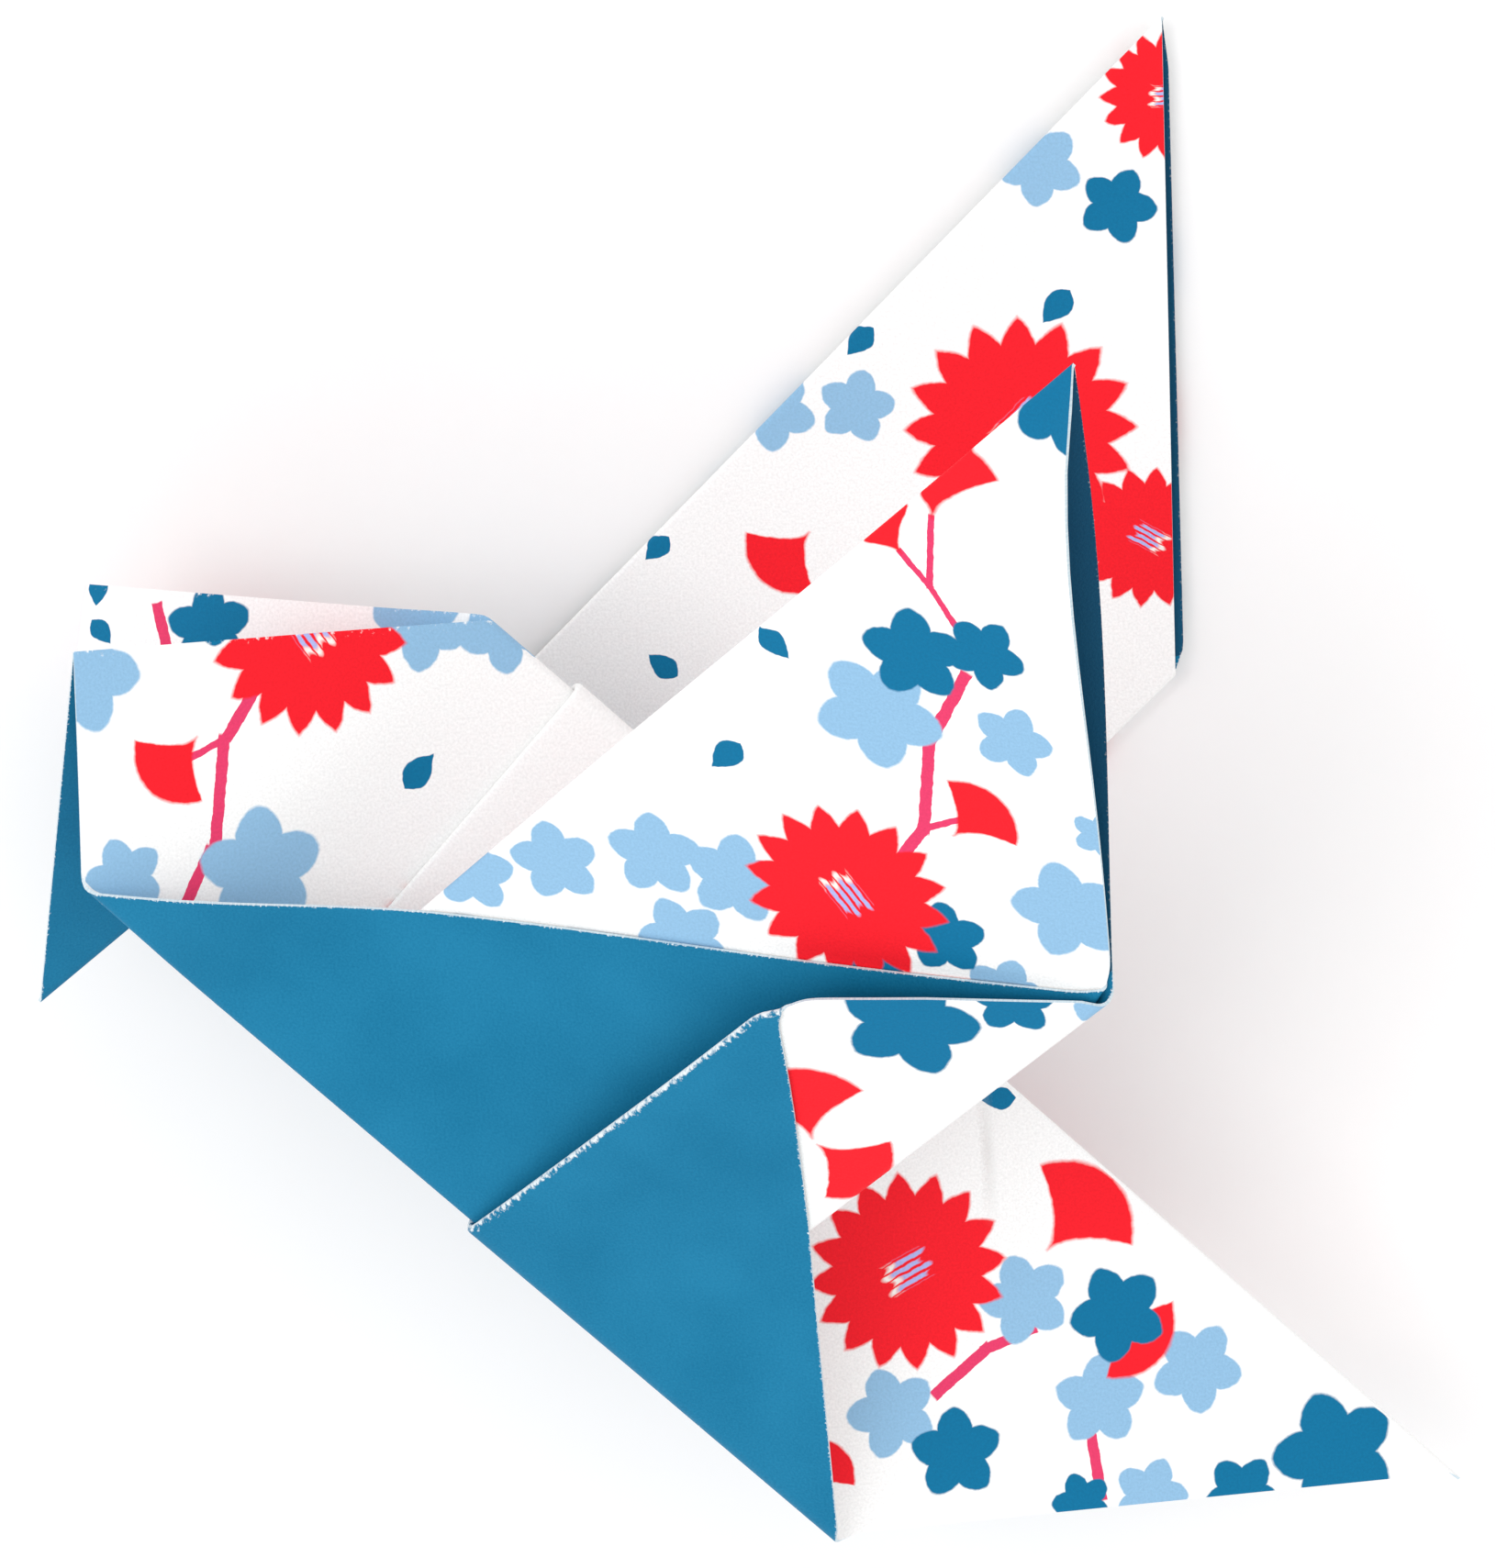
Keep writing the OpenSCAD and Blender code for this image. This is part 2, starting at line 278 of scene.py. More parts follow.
def section_place(side, far, x):
    """Place and direction of the body's section at a distance from the back."""
    share = (keel_crease - x - min(far, keel_crease)) / (keel_crease + crease_ahead)
    twist = head_turn * ease(-x / neck_len) * limit(share)
    if side > 0:
        back_way, wall_way, wing_way = down_way - 90 - twist, near_wall_way - twist, near_wing_way
    else:
        back_way, wall_way, wing_way = down_way - 270 - twist, far_wall_way - 360 - twist, 0
    k = math.radians(abs(wing_way - wall_way)) / 2 * back_r
    if far < back_roll:
        way = back_way + (wall_way - back_way) * far / back_roll
        return arc_step(back_way, way), way
    wall_start = arc_step(back_way, wall_way)
    if far < keel_crease - k:
        return wall_start + (far - back_roll) * heading(wall_way), wall_way
    keel_start = wall_start + (keel_crease - k - back_roll) * heading(wall_way)
    if far < keel_crease + k:
        way = wall_way + (wing_way - wall_way) * (far - keel_crease + k) / (2 * k)
        return keel_start + arc_step(wall_way, way), way
    wing_start = keel_start + arc_step(wall_way, wing_way)
    return wing_start + (far - keel_crease - k) * heading(wing_way), wing_way


def body_place(u, v):
    side = -1 if v < 0 else 1
    x, level = stack_place(u)
    place, way = section_place(side, abs(v) + rear_shift(u, v, x), x)
    place = place + (level + spring(u, v, x) + wing_dent(v, x)) * heading(way + side * 90)
    place.x = slipped(u, v, x)
    return place


# The beak: the front corner of the head, turned down between the walls by an inside reverse fold. Its two
# flat halves meet at an edge that is rolled like the back at its root and folded sharp at its tip.
half_back = math.radians(back_angle / 2)
beak_spread = 1 + math.cos(half_back) ** 2
beak_axis = 2 * math.cos(half_back) / beak_spread * heading(down_way - beak_turn)
beak_axis.x = -math.sin(half_back) ** 2 / beak_spread
beak_across = heading(down_way - beak_turn - 90)
beak_front = beak_axis.cross(beak_across)


def beak_crease(v):
    return body_place(beak_start + abs(v), v)


beak_reach = beak_crease(beak_side) - beak_crease(0)
beak_open = math.pi / 2 - math.atan2(beak_reach.dot(beak_across), beak_reach.dot(beak_front))
tip_roll = back_roll / 3
tip_r = tip_roll / beak_open


def beak_tip(v):
    bent = min(abs(v), tip_roll)
    turn = bent / tip_r
    across = tip_r * math.sin(turn) + (abs(v) - bent) * math.cos(beak_open)
    ahead = tip_r * (1 - math.cos(turn)) + (abs(v) - bent) * math.sin(beak_open)
    out = math.copysign(across, v) * beak_across + ahead * beak_front
    return beak_crease(0) + (beak_len - abs(v)) * beak_axis + out


# The least room left to the tip, and the slack within which a point still counts as on the beak's crease
least_room = 1e-6
crease_slack = 1e-4


def beak_place(u, v):
    """A point of the beak, on the straight line from its crease to its sharp edge."""
    far = abs(v)
    edge = min(far, back_roll)
    tip = half_diagonal - edge
    if far > edge:
        reach = (tip - edge - beak_start) / max(tip - edge - u + far, least_room)
        crease_v = min(edge + (far - edge) * reach, beak_side)
    else:
        reach = (tip - edge - beak_start) / max(tip - u, least_room)
        crease_v = far
    share = 1 - 1 / max(reach, 1)
    return beak_crease(math.copysign(crease_v, v)).lerp(beak_tip(math.copysign(edge, v)), share)


def sheet_place(u, v):
    return beak_place(u, v) if u - abs(v) > beak_start + crease_slack else body_place(u, v)


for vertex in paper.data.vertices:
    vertex.co = sheet_place(vertex.co.x, vertex.co.y) / 1000

print_faces = len(paper.data.polygons)
wall = paper.modifiers.new("paper thickness", "SOLIDIFY")
wall.thickness = paper_t / 1000
wall.offset = 0
bpy.ops.object.modifier_apply(modifier=wall.name)

# The finished bird stands on its own box: its middle over the origin and its lowest point on the floor
corners = [v.co for v in paper.data.vertices]
lowest = Vector([min(c[k] for c in corners) for k in range(3)])
highest = Vector([max(c[k] for c in corners) for k in range(3)])
base = (lowest + highest) / 2
base.z = lowest.z
for vertex in paper.data.vertices:
    vertex.co -= base
bpy.ops.object.shade_smooth_by_angle(angle=math.radians(40))

# The print: a flower pattern that repeats every 85 mm along the sheet's sides, in flat inks on white paper.
# Each motif has its place in millimetres along the two sides, from the sheet's middle, then its size and its
# turn in degrees. A stem has its two ends and its width.
repeat = 85
chrysanthemums = [
    (59.1, 36.8, 6.3, 125), (19.5, 36.5, 7.4, 45), (11.5, 44, 4.8, 150), (9.8, 15, 4.2, 0),
    (46, 58.5, 6.4, 25), (36, 15, 5.6, 100), (68, 17, 6.2, 250), (83, 60, 5.8, 60), (5, 82, 5.2, 150),
]
fan_leaves = [
    (65.8, 41.8, 4.6, 45), (66.2, 63.8, 6, 83), (64.4, 61.3, 3.9, 126), (12, 63, 6.2, 97),
    (12, 63, 5.2, -42), (33, 43, 4.8, 45), (37.1, 58.2, 6.5, 225), (33.5, 62, 5.2, 135),
    (53.4, 72, 3.6, 225), (42, 9, 4.4, 320), (80, 36, 4.6, 190), (61, 80, 4.4, 20),
]
light_blossoms = [
    (62, 50.2, 4, 56), (70.2, 49.5, 2.5, 0), (72.8, 37.5, 3.6, 32), (40.7, 36.4, 2.9, 30),
    (47.1, 37.8, 3, 20), (52.1, 36.9, 3.2, 10), (48.5, 32, 3, 45), (35.2, 34.9, 2.8, 15),
    (68.5, 31, 2.5, 0), (29.9, 34.8, 2.5, 40), (17.8, 19.3, 2.7, 10), (75.1, 43.6, 1.8, 0),
    (38.5, 61, 3, 70), (27.5, 66.5, 3, 20), (34, 68, 3, 50), (47.5, 67.5, 3, 0), (31, 74.5, 2.5, 30),
    (26, 12, 2.9, 0), (62, 25, 2.7, 35), (81, 25, 3.2, 15), (80, 47, 2.6, 60), (83, 72, 3, 40),
    (52, 82, 3, 25), (72, 3, 2.8, 50), (20, 83, 2.6, 5),
]
teal_blossoms = [
    (68.9, 55.4, 2.5, 59), (64.5, 54.6, 3.2, 20), (65, 34.5, 2.6, 20), (50, 18.5, 2.8, 45),
    (60, 31.5, 2.6, 60), (74, 72.5, 3, 10), (18.7, 73, 4.2, -2), (25, 75, 2.6, 15),
    (32.5, 62.5, 3.2, 5), (43.5, 70.5, 3, 55), (35.5, 74.5, 2, 0), (13, 22, 2.5, 30),
    (31, 21, 2.8, 10), (75, 26, 2.6, 50), (79, 9, 3, 20), (4, 50, 2.8, 0), (2, 33, 2.4, 40),
    (70, 82, 3, 60), (34, 3, 2.6, 25),
]
teal_petals = [
    (52.3, 45.7, 1.4, 225), (56, 54.2, 1.25, -50), (43, 52, 1.2, -40), (43, 44, 1.1, 45),
    (29.5, 30.5, 1.2, 45), (17, 28.5, 1.4, 50), (39.5, 48, 1.1, 0), (50.8, 11.4, 1, 45),
    (48.2, 10.9, 1, 0), (43, 20, 1.2, 30), (77, 52, 1.2, 80), (62, 5, 1.2, 10), (10, 2, 1.1, 60),
]
stems = [
    (67.5, 53.5, 65, 48.5, 0.75), (65, 48.5, 64.2, 42.2, 0.75), (64.2, 42.2, 62, 39, 0.75),
    (66.5, 43.2, 64.2, 42.2, 0.45), (66.2, 64.2, 65.8, 59.5, 0.4), (64.2, 61.6, 65.8, 59.5, 0.4),
    (65.8, 59.5, 67.2, 57, 0.4), (44.5, 66.5, 41.2, 64, 0.75), (41.2, 64, 38.2, 63, 0.7),
    (34.2, 74.2, 34.7, 70, 0.7), (49, 15, 52, 16, 0.7), (36, 20, 32, 27, 0.7), (68, 23, 64, 29, 0.7),
    (83, 66, 78, 71, 0.7),
]
paper_white = (0.9, 0.9, 0.895, 1)
red_ink = (0.86, 0.011, 0.022, 1)
light_ink = (0.265, 0.475, 0.685, 1)
teal_ink = (0.002, 0.155, 0.315, 1)
pink_ink = (0.74, 0.045, 0.14, 1)
stamen_ink = (0.4, 0.44, 0.78, 1)
anther_ink = (0.86, 0.82, 0.78, 1)


def add_node(tree, kind, inputs=(), **settings):
    """A node with its settings, and its inputs set to values or joined to other nodes' outputs."""
    made = tree.nodes.new(kind)
    for name, value in settings.items():
        setattr(made, name, value)
    for key, value in dict(inputs).items():
        if isinstance(value, bpy.types.NodeSocket):
            tree.links.new(value, made.inputs[key])
        else:
            made.inputs[key].default_value = value
    return made


def math_node(tree, operation, *values, use_clamp=False):
    made = add_node(
        tree, "ShaderNodeMath", dict(enumerate(values)), operation=operation, use_clamp=use_clamp)
    return made.outputs[0]


def vector_node(tree, operation, *values):
    made = add_node(tree, "ShaderNodeVectorMath", dict(enumerate(values)), operation=operation)
    return made.outputs["Value" if operation in ("LENGTH", "DOT_PRODUCT") else "Vector"]


def scaled(tree, vector, factor):
    made = add_node(tree, "ShaderNodeVectorMath", {0: vector, "Scale": factor}, operation="SCALE")
    return made.outputs["Vector"]


def noise_node(tree, place, scale, detail, roughness=0.5):
    return add_node(tree, "ShaderNodeTexNoise", {
        "Vector": place, "Scale": scale, "Detail": detail, "Roughness": roughness})


def mix_colour(tree, factor, first, second):
    made = add_node(tree, "ShaderNodeMix", {0: factor, 6: first, 7: second}, data_type="RGBA")
    return made.outputs[2]


def new_group(name, ins, outs):
    """An empty node group with its input and output sockets."""
    tree = bpy.data.node_groups.new(name, "ShaderNodeTree")
    for in_out, sockets in (("INPUT", ins), ("OUTPUT", outs)):
        for socket, kind in sockets:
            tree.interface.new_socket(socket, in_out=in_out, socket_type="NodeSocket" + kind)
    return tree, tree.nodes.new("NodeGroupInput"), tree.nodes.new("NodeGroupOutput")


def shape_group(name):
    """Starts a motif's shape: its tree, the place on the motif, its two parts and the mask to put out."""
    tree, given, result = new_group(name, [("Place", "Vector")], [("Mask", "Float")])
    parts = add_node(tree, "ShaderNodeSeparateXYZ", {0: given.outputs[0]})
    return tree, given.outputs[0], parts.outputs[0], parts.outputs[1], result.inputs[0]


edge_softness = 0.05


def soft_mask(tree, inside):
    """1 where the shape's inside value is above zero, with a soft printed edge."""
    return math_node(tree, "MULTIPLY_ADD", inside, 1 / edge_softness, 0.5, use_clamp=True)


def flower_group(name, petals, notch, roundness):
    """A flower of unit radius whose outline dips by notch between its petals."""
    tree, place, x, y, mask = shape_group(name)
    turn = math_node(tree, "ARCTAN2", y, x)
    wave = math_node(tree, "PINGPONG", math_node(tree, "MULTIPLY", turn, petals / math.tau), 0.5)
    dip = math_node(tree, "POWER", math_node(tree, "MULTIPLY", wave, 2), roundness)
    outline = math_node(tree, "MULTIPLY_ADD", dip, -notch, 1)
    reach = vector_node(tree, "LENGTH", place)
    tree.links.new(soft_mask(tree, math_node(tree, "SUBTRACT", outline, reach)), mask)
    return tree


blossom_shape = flower_group("five-petalled blossom", petals=5, notch=0.35, roundness=1.45)
chrysanthemum_shape = flower_group("chrysanthemum", petals=16, notch=0.23, roundness=1.15)

# A petal is a drop, a fan leaf widens from its stalk to an arc, and a stem is a straight bar
petal_belly = 0.62
petal_lean = 0.4
petal_least = 0.1
petal_shape, _, x, y, mask = shape_group("loose petal")
belly = math_node(petal_shape, "MULTIPLY", x, x)
belly = math_node(petal_shape, "MULTIPLY_ADD", belly, -petal_belly, petal_belly)
lean = math_node(petal_shape, "MULTIPLY_ADD", x, -petal_lean, 1)
belly = math_node(petal_shape, "MULTIPLY", belly, math_node(petal_shape, "MAXIMUM", lean, petal_least))
inside = math_node(petal_shape, "SUBTRACT", belly, math_node(petal_shape, "ABSOLUTE", y))
petal_shape.links.new(soft_mask(petal_shape, inside), mask)

leaf_flare = 1.55
leaf_stalk = 0.05
leaf_narrowing = 1.25
leaf_shape, place, x, y, mask = shape_group("fan leaf")
flare = math_node(leaf_shape, "POWER", math_node(leaf_shape, "MAXIMUM", x, 0), 2)
flare = math_node(leaf_shape, "MULTIPLY", flare, leaf_flare)
side_room = math_node(leaf_shape, "SUBTRACT", flare, math_node(leaf_shape, "ABSOLUTE", y))
side_room = math_node(leaf_shape, "MINIMUM", side_room, math_node(leaf_shape, "SUBTRACT", x, leaf_stalk))
reach = vector_node(leaf_shape, "LENGTH", vector_node(leaf_shape, "MULTIPLY", place, (1, leaf_narrowing, 1)))
end_room = math_node(leaf_shape, "SUBTRACT", 1, reach)
leaf_shape.links.new(soft_mask(leaf_shape, math_node(leaf_shape, "MINIMUM", side_room, end_room)), mask)

stem_shape, _, x, y, mask = shape_group("stem")
end_room = math_node(stem_shape, "SUBTRACT", 1, math_node(stem_shape, "ABSOLUTE", x))
side_room = math_node(stem_shape, "SUBTRACT", 1, math_node(stem_shape, "ABSOLUTE", y))
stem_shape.links.new(soft_mask(stem_shape, math_node(stem_shape, "MINIMUM", end_room, side_room)), mask)

# Stamens: a few fine strokes in the middle of a chrysanthemum, each with a pale dot at its end
stroke_count = 4
strokes_half = 0.15
stroke_width = 0.4
stroke_unevenness = 0.05
stroke_wave = 38


def stamen_group(name, low, high, thinning):
    """Strokes that run from low to high across the flower, made thinner by thinning."""
    tree, _, x, y, mask = shape_group(name)
    wave = math_node(tree, "MULTIPLY", y, stroke_count / (2 * strokes_half))
    stroke = math_node(tree, "MULTIPLY_ADD", math_node(tree, "PINGPONG", wave, 0.5), stroke_width, -thinning)
    uneven = math_node(tree, "SINE", math_node(tree, "MULTIPLY", y, stroke_wave))
    uneven = math_node(tree, "MULTIPLY_ADD", uneven, stroke_unevenness, x)
    along = math_node(tree, "ABSOLUTE", math_node(tree, "SUBTRACT", uneven, (low + high) / 2))
    end_room = math_node(tree, "SUBTRACT", (high - low) / 2, along)
    side_room = math_node(tree, "SUBTRACT", strokes_half, math_node(tree, "ABSOLUTE", y))
    room = math_node(tree, "MINIMUM", math_node(tree, "MINIMUM", end_room, side_room), stroke)
    tree.links.new(soft_mask(tree, room), mask)
    return tree


stamen_shape = stamen_group("stamens", low=-0.2, high=0.13, thinning=0.08)
anther_shape = stamen_group("anthers", low=0.13, high=0.21, thinning=0.05)


def stem_motif(x0, y0, x1, y1, width):
    middle = ((x0 + x1) / 2, (y0 + y1) / 2)
    length = math.hypot(x1 - x0, y1 - y0) + width
    return middle, (length / 2, width / 2), math.degrees(math.atan2(y1 - y0, x1 - x0))


# Motifs in the order that they are printed: shape, ink, middle, half sizes and turn
motifs = [(stem_shape, pink_ink) + stem_motif(*stem) for stem in stems]
for shape, ink, places in (
    (blossom_shape, light_ink, light_blossoms),
    (leaf_shape, red_ink, fan_leaves),
    (blossom_shape, teal_ink, teal_blossoms),
    (petal_shape, teal_ink, teal_petals),
    (chrysanthemum_shape, red_ink, chrysanthemums),
    (stamen_shape, stamen_ink, chrysanthemums),
    (anther_shape, anther_ink, chrysanthemums),
):
    motifs += [(shape, ink, (x, y), (size, size), turn) for x, y, size, turn in places]

# A few motifs are missing from the print in these places
left_out = {
    "far inner wing layer": [(39.5, 48), (46, 58.5)],
    "near tail flap": [(43, 52)],
    "near head layer": [(66.2, 63.8), (64.4, 61.3), (64.5, 54.6), (68.9, 55.4), (75.1, 43.6)],
    "near inner wing layer": [(9.8, 15)],
}
# On the head's near side the print is moved a little along u and is larger along v
head_print_shift = 0.6
head_print_stretch = 1.1
# The repeats that can reach the sheet, and the room that a printed edge has to stray in
repeats = range(-2, 2)
drift_room = 0.3


def motifs_on(region, u_low, u_high, v_low, v_high):
    """The motifs, with their repeats, that reach one part of the sheet."""
    for shape, ink, middle, size, turn in motifs:
        if middle in left_out.get(region, []):
            continue
        for i in repeats:
            for j in repeats:
                x, y = middle[0] + repeat * i, middle[1] + repeat * j
                u, v = (x - y) / math.sqrt(2), (x + y) / math.sqrt(2)
                if region == "near head layer":
                    u, v = u + head_print_shift, head_print_stretch * v
                    x, y = (u + v) / math.sqrt(2), (v - u) / math.sqrt(2)
                reach = max(size) + drift_room
                in_run = u_low - reach < u < u_high + reach and v_low - reach < v < v_high + reach
                if in_run and max(abs(x), abs(y)) < sheet_side / 2 + reach:
                    yield shape, ink, (x, y), size, turn


# Wear: bare fibres show along the folds and the cut edges. The group takes the place on the sheet in
# millimetres and gives the wear of the printed side and of the plain side, the paper's fine grain, and an
# old soft crease on the tail's near wall.
soft_crease_x = -44.3
soft_crease_y = 51.3
soft_crease_waver = 0.6
wear, given, worn = new_group(
    "wear along the folds", [("Place", "Vector")],
    [("Print", "Float"), ("Plain", "Float"), ("Grain", "Float"), ("Crease", "Float")])
sheet = given.outputs[0]
along = add_node(wear, "ShaderNodeSeparateXYZ", {0: sheet})
x_side, y_side = along.outputs[0], along.outputs[1]
u_place = math_node(wear, "MULTIPLY", math_node(wear, "SUBTRACT", x_side, y_side), math.sqrt(0.5))
v_place = math_node(wear, "MULTIPLY", math_node(wear, "ADD", x_side, y_side), math.sqrt(0.5))
v_far = math_node(wear, "ABSOLUTE", v_place)
x_far = math_node(wear, "ABSOLUTE", x_side)
y_far = math_node(wear, "ABSOLUTE", y_side)


def near_line(place, at, width):
    """1 on a line of the sheet, falling to 0 at a distance of width."""
    away = math_node(wear, "ABSOLUTE", math_node(wear, "SUBTRACT", place, at))
    return math_node(wear, "MULTIPLY_ADD", away, -1 / width, 1, use_clamp=True)


def strongest(first, *others):
    """The strongest of several lines, each given with its share of the wear."""
    most = math_node(wear, "MULTIPLY", *first)
    for line in others:
        most = math_node(wear, "MAXIMUM", most, math_node(wear, "MULTIPLY", *line))
    return most


fibre_share = 2.2
fibre_contrast = 3


def ragged(closeness, noise, least):
    """A ragged mask where the fibres' noise lifts a line's closeness above the least that wears."""
    made = math_node(wear, "MULTIPLY_ADD", noise, fibre_share, math_node(wear, "SUBTRACT", closeness, least))
    return math_node(wear, "MULTIPLY", made, fibre_contrast, use_clamp=True)


fibre = noise_node(wear, sheet, scale=2.6, detail=4, roughness=0.65).outputs[0]
speck = noise_node(wear, sheet, scale=6, detail=2).outputs[0]
beak_line = near_line(math_node(wear, "SUBTRACT", u_place, v_far), at=beak_start, width=2.6)
back_line = near_line(v_place, at=0, width=0.9)
keel_line = near_line(v_far, at=keel_crease, width=0.9)
tail_line = near_line(u_place, at=-tail_fold, width=0.6)
cut_line = near_line(math_node(wear, "MAXIMUM", x_far, y_far), at=sheet_side / 2, width=0.22)
print_wear = ragged(strongest((beak_line, 1), (back_line, 0.9)), fibre, least=2.2)
plain_wear = ragged(strongest((keel_line, 0.62), (beak_line, 0.55), (cut_line, 0.8)), speck, least=1.82)
tail_wear = ragged(tail_line, fibre, least=1.65)
wavering_x = math_node(wear, "MULTIPLY_ADD", speck, soft_crease_waver, x_side)
across_crease = near_line(wavering_x, at=soft_crease_x, width=0.5)
along_crease = near_line(y_side, at=soft_crease_y, width=5)
wear.links.new(print_wear, worn.inputs["Print"])
wear.links.new(math_node(wear, "MAXIMUM", tail_wear, plain_wear), worn.inputs["Plain"])
wear.links.new(speck, worn.inputs["Grain"])
wear.links.new(math_node(wear, "MULTIPLY", across_crease, along_crease), worn.inputs["Crease"])

crease_relief = 12


def sheet_nodes(material):
    """Starts a paper material: its tree, its shader, the place on the sheet in millimetres and the wear."""
    material.use_nodes = True
    tree = material.node_tree
    paint = tree.nodes["Principled BSDF"]
    uv = add_node(tree, "ShaderNodeUVMap", uv_map=paper.data.uv_layers[0].name).outputs[0]
    place = scaled(tree, vector_node(tree, "SUBTRACT", uv, (0.5, 0.5, 0)), sheet_side)
    worn = add_node(tree, "ShaderNodeGroup", node_tree=wear)
    tree.links.new(place, worn.inputs[0])
    height = math_node(tree, "MULTIPLY_ADD", worn.outputs["Crease"], crease_relief, worn.outputs["Grain"])
    bump = add_node(tree, "ShaderNodeBump", {"Height": height, "Strength": 0.25, "Distance": 0.0001})
    tree.links.new(bump.outputs[0], paint.inputs["Normal"])
    paint.inputs["Roughness"].default_value = 0.62
    paint.inputs["Specular IOR Level"].default_value = 0.12
    return tree, paint, place, worn.outputs


ink_drift = 0.22
# Painted shade along the old soft crease on the tail's near wall: a grey-beige mixed into the print there
painted_crease_shade = (0.55, 0.52, 0.5, 1)
painted_crease_shade_strength = 0.3


def print_material(region, band, *ends):
    """White paper with the motifs' inks for this part of the sheet, and painted shade along the old crease.
    """
    material = bpy.data.materials.new(f"print on the {region}, {band}")
    tree, paint, place, worn = sheet_nodes(material)
    rough_edge = noise_node(tree, place, scale=1.4, detail=2).outputs["Color"]
    drift = scaled(tree, vector_node(tree, "SUBTRACT", rough_edge, (0.5, 0.5, 0.5)), ink_drift)
    inked = vector_node(tree, "MULTIPLY", vector_node(tree, "ADD", place, drift), (1, 1, 0))
    colour = paper_white
    for shape, ink, (x, y), (length, width), turn in motifs_on(region, *ends):
        spot = add_node(tree, "ShaderNodeMapping", {
            "Vector": inked, "Location": (x, y, 0), "Rotation": (0, 0, math.radians(turn)),
            "Scale": (length, width, 1)}, vector_type="TEXTURE")
        stamp = add_node(tree, "ShaderNodeGroup", node_tree=shape)
        tree.links.new(spot.outputs[0], stamp.inputs[0])
        colour = mix_colour(tree, stamp.outputs[0], colour, ink)
    grain = add_node(tree, "ShaderNodeMapRange", {
        "Value": worn["Grain"], "From Min": 0.3, "From Max": 0.7, "To Min": 0.93, "To Max": 1.05})
    colour = scaled(tree, colour, grain.outputs[0])
    colour = mix_colour(tree, worn["Print"], colour, paper_white)
    # Painted shade: the print is darkened along the old soft crease, whose ridge itself comes from the bump
    painted_crease_shadow = math_node(tree, "MULTIPLY", worn["Crease"], painted_crease_shade_strength)
    colour = mix_colour(tree, painted_crease_shadow, colour, painted_crease_shade)
    tree.links.new(colour, paint.inputs["Base Color"])
    return material


run_ends = [-half_diagonal] + creases + [half_diagonal]
run_names = ["tail flap", "turned rear layer", "inner wing layer", "outer wing layer", "head layer"]
bands = (
    ("near", "wing part", keel_crease, half_diagonal), ("near", "wall part", 0, keel_crease),
    ("far", "wall part", -keel_crease, 0), ("far", "wing part", -half_diagonal, -keel_crease),
)
for k, run_name in enumerate(run_names):
    for side_name, band, v_low, v_high in bands:
        paper.data.materials.append(
            print_material(f"{side_name} {run_name}", band, run_ends[k], run_ends[k + 1], v_low, v_high))

# The plain side: the back of the same paper, printed all over in one blue that is a little uneven. Pale
# fibres show where it is worn along the folds and the cut edges.
plain_blue_low = (0.003, 0.15, 0.29, 1)
plain_blue_high = (0.010, 0.195, 0.36, 1)
bare_fibre = (0.74, 0.79, 0.81, 1)
deep_shade = (0.001, 0.02, 0.06, 1)
shade_strength = 0.65
shade_inset = 1
plain_side = bpy.data.materials.new("plain blue side")
tree, paint, place, worn = sheet_nodes(plain_side)
patches = noise_node(tree, place, scale=0.12, detail=3).outputs[0]
mottle = math_node(tree, "MULTIPLY", math_node(tree, "ADD", patches, worn["Grain"]), 0.5)
mottle = add_node(tree, "ShaderNodeMapRange", {"Value": mottle, "From Min": 0.35, "From Max": 0.65})
colour = mix_colour(tree, mottle.outputs[0], plain_blue_low, plain_blue_high)
colour = mix_colour(tree, worn["Plain"], colour, bare_fibre)
# Between the two layers of each wing the blue lies in deep shade
u_place = vector_node(tree, "DOT_PRODUCT", place, (math.sqrt(0.5), -math.sqrt(0.5), 0))
between = math_node(tree, "LESS_THAN", math_node(tree, "ABSOLUTE", u_place), cross_crease - shade_inset)
colour = mix_colour(tree, math_node(tree, "MULTIPLY", between, shade_strength), colour, deep_shade)
tree.links.new(colour, paint.inputs["Base Color"])

# The cut edge: the thickness of the sheet, trimmed with a blade, where the white paper and the blue of its
# back show together.
edge_blue = (0.3, 0.48, 0.58, 1)
edge_white = (0.85, 0.88, 0.89, 1)
cut_edge = bpy.data.materials.new("cut edge")
tree, paint, _, worn = sheet_nodes(cut_edge)
tree.links.new(mix_colour(tree, worn["Grain"], edge_blue, edge_white), paint.inputs["Base Color"])

plain_index = len(paper.data.materials)
paper.data.materials.append(plain_side)
paper.data.materials.append(cut_edge)
for face in paper.data.polygons:
    if face.index < print_faces:
        middle = flat_middles[face.index]
        run = sum(crease <= middle.x for crease in creases)
        face.material_index = len(bands) * run + sum(middle.y < low for _, _, low, _ in bands[:-1])
    else:
        face.material_index = plain_index if face.index < 2 * print_faces else plain_index + 1

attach(paper, "root")
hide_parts("folded_sheet")

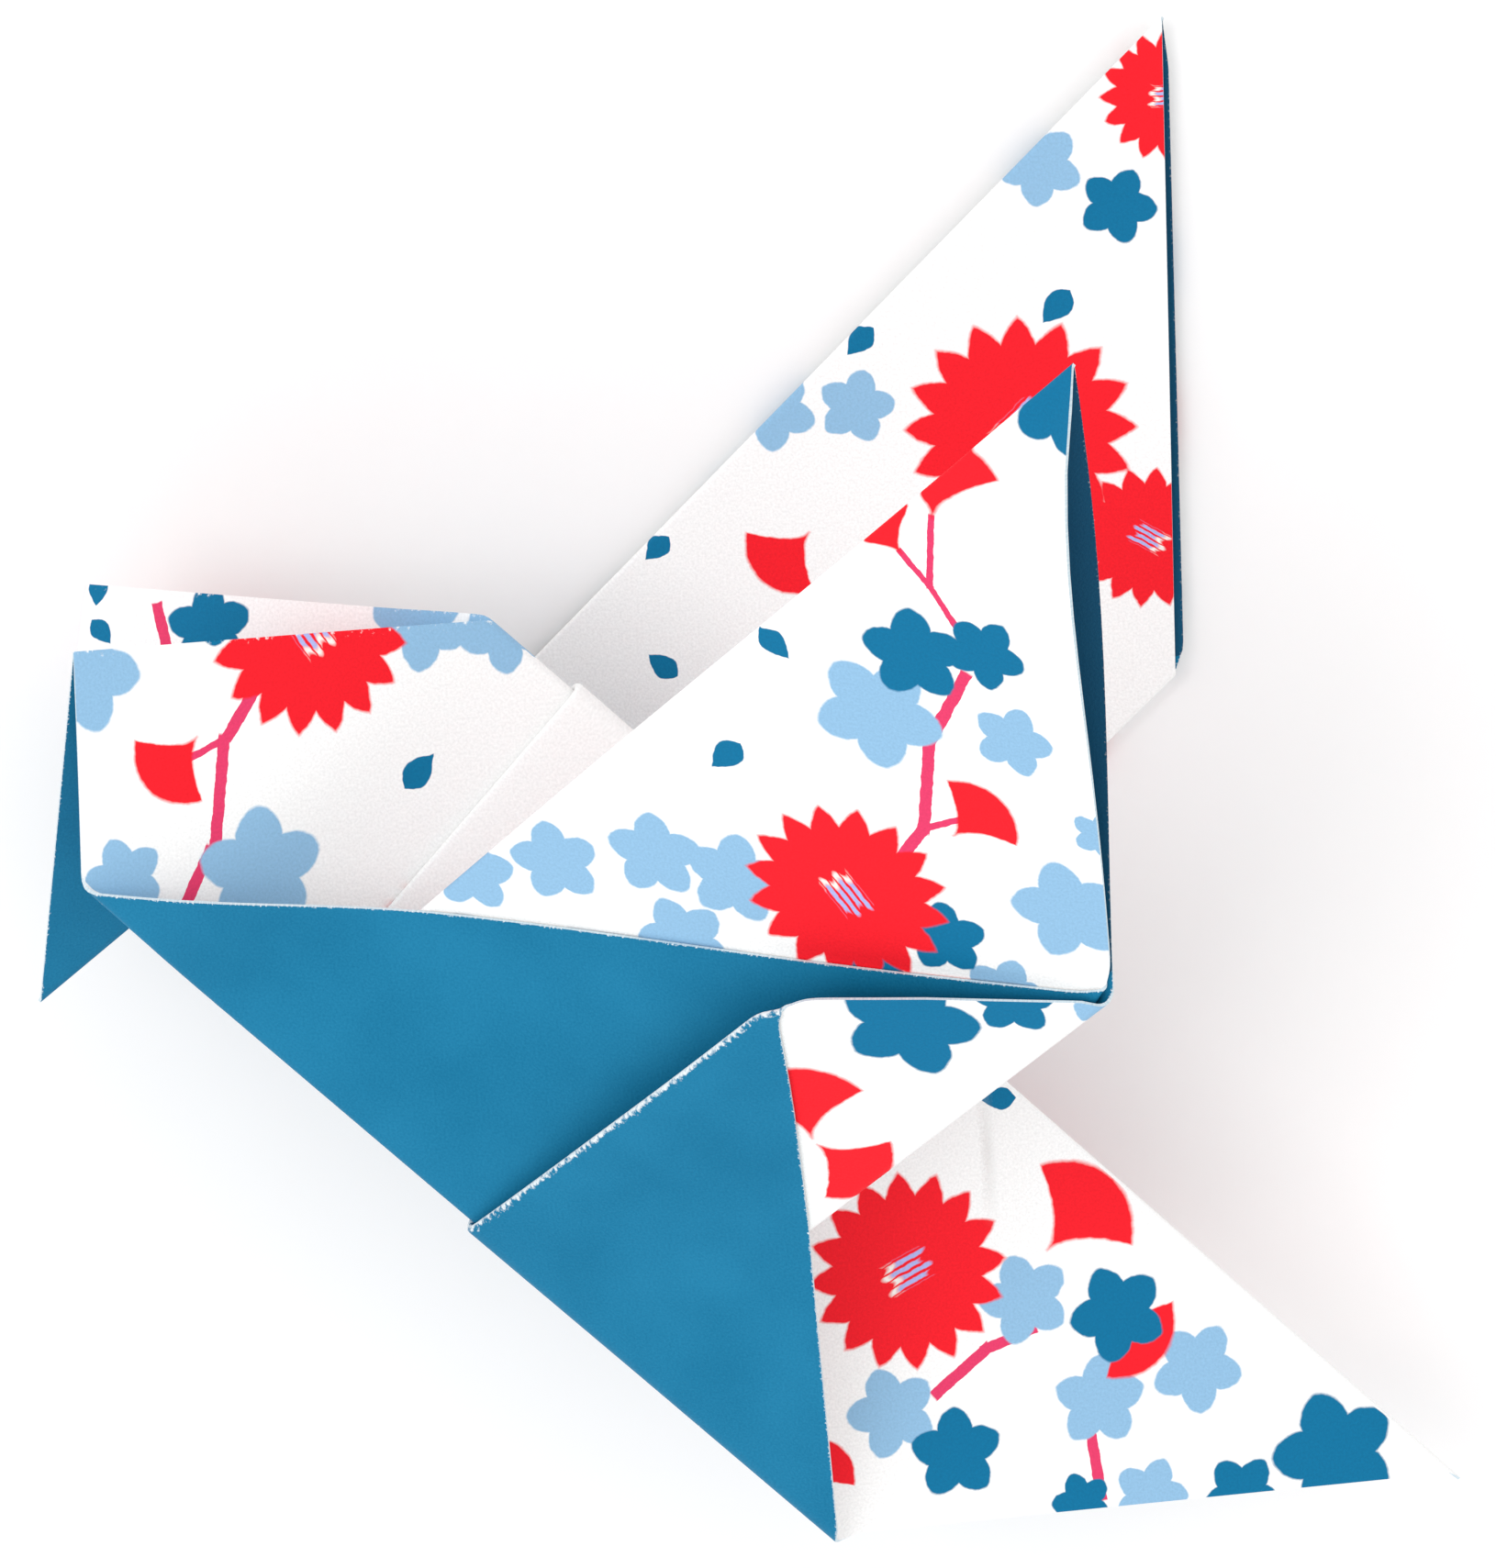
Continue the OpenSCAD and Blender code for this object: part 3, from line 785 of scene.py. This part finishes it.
# The floor: a plain pale studio sweep of matt card that the bird lies on, cut much wider than the picture.
# It is no part of the bird.
bpy.ops.object.select_all(action="DESELECT")
bpy.ops.mesh.primitive_plane_add(size=4)
floor = bpy.context.object
floor.name = "floor"
floor_low = (0.88, 0.88, 0.88, 1)
floor_high = (0.92, 0.92, 0.92, 1)
floor_paint = bpy.data.materials.new("pale floor")
floor_paint.use_nodes = True
tree = floor_paint.node_tree
paint = tree.nodes["Principled BSDF"]
floor_place = add_node(tree, "ShaderNodeTexCoord").outputs["Object"]
floor_grain = noise_node(tree, floor_place, scale=30, detail=4).outputs[0]
tree.links.new(mix_colour(tree, floor_grain, floor_low, floor_high), paint.inputs["Base Color"])
paint.inputs["Roughness"].default_value = 0.9
paint.inputs["Specular IOR Level"].default_value = 0.2
floor.data.materials.append(floor_paint)
floor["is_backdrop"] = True

# The light: soft and white from all round, as in a small studio tent, with a wide lamp over the head and a
# weaker one by the tail.
bpy.context.scene.view_settings.view_transform = "Standard"
world = bpy.data.worlds.new("studio")
bpy.context.scene.world = world
world.use_nodes = True
world.node_tree.nodes["Background"].inputs["Color"].default_value = (1, 1, 1, 1)
world.node_tree.nodes["Background"].inputs["Strength"].default_value = 1.02


def add_lamp(name, place, power, size):
    bpy.ops.object.light_add(type="AREA", location=place)
    lamp = bpy.context.object
    lamp.name = name
    lamp.data.size = size
    lamp.data.energy = power
    lamp.rotation_euler = (-Vector(place)).to_track_quat("-Z", "Y").to_euler()


add_lamp("lamp over the head", (-0.5, -0.1, 0.8), power=2.2, size=0.5)
add_lamp("lamp by the tail", (0.5, -0.5, 0.6), power=0.8, size=0.5)

# The camera looks down on the bird from beyond its head, and is turned so that the wings point up. Its
# place and aim are in metres.
camera_place = Vector((-0.1055, 0.1202, 0.4222))
camera_aim = Vector((-0.0144, -0.0039, 0.02))
camera_turn = 173.2
frame_height_px = 1709
focal_px = 7562
camera_data = bpy.data.cameras.new("camera")
camera = bpy.data.objects.new("camera", camera_data)
bpy.context.collection.objects.link(camera)
camera.location = camera_place
look = (camera_aim - camera_place).to_track_quat("-Z", "Y")
camera.rotation_euler = (look @ Quaternion((0, 0, 1), math.radians(-camera_turn))).to_euler()
camera_data.sensor_fit = "VERTICAL"
camera_data.lens = camera_data.sensor_height * focal_px / frame_height_px
bpy.context.scene.camera = camera

boxes = {"cad": cad_box, "visual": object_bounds()}
boxes = {name: [[float(x) for x in corner] for corner in box] for name, box in boxes.items()}
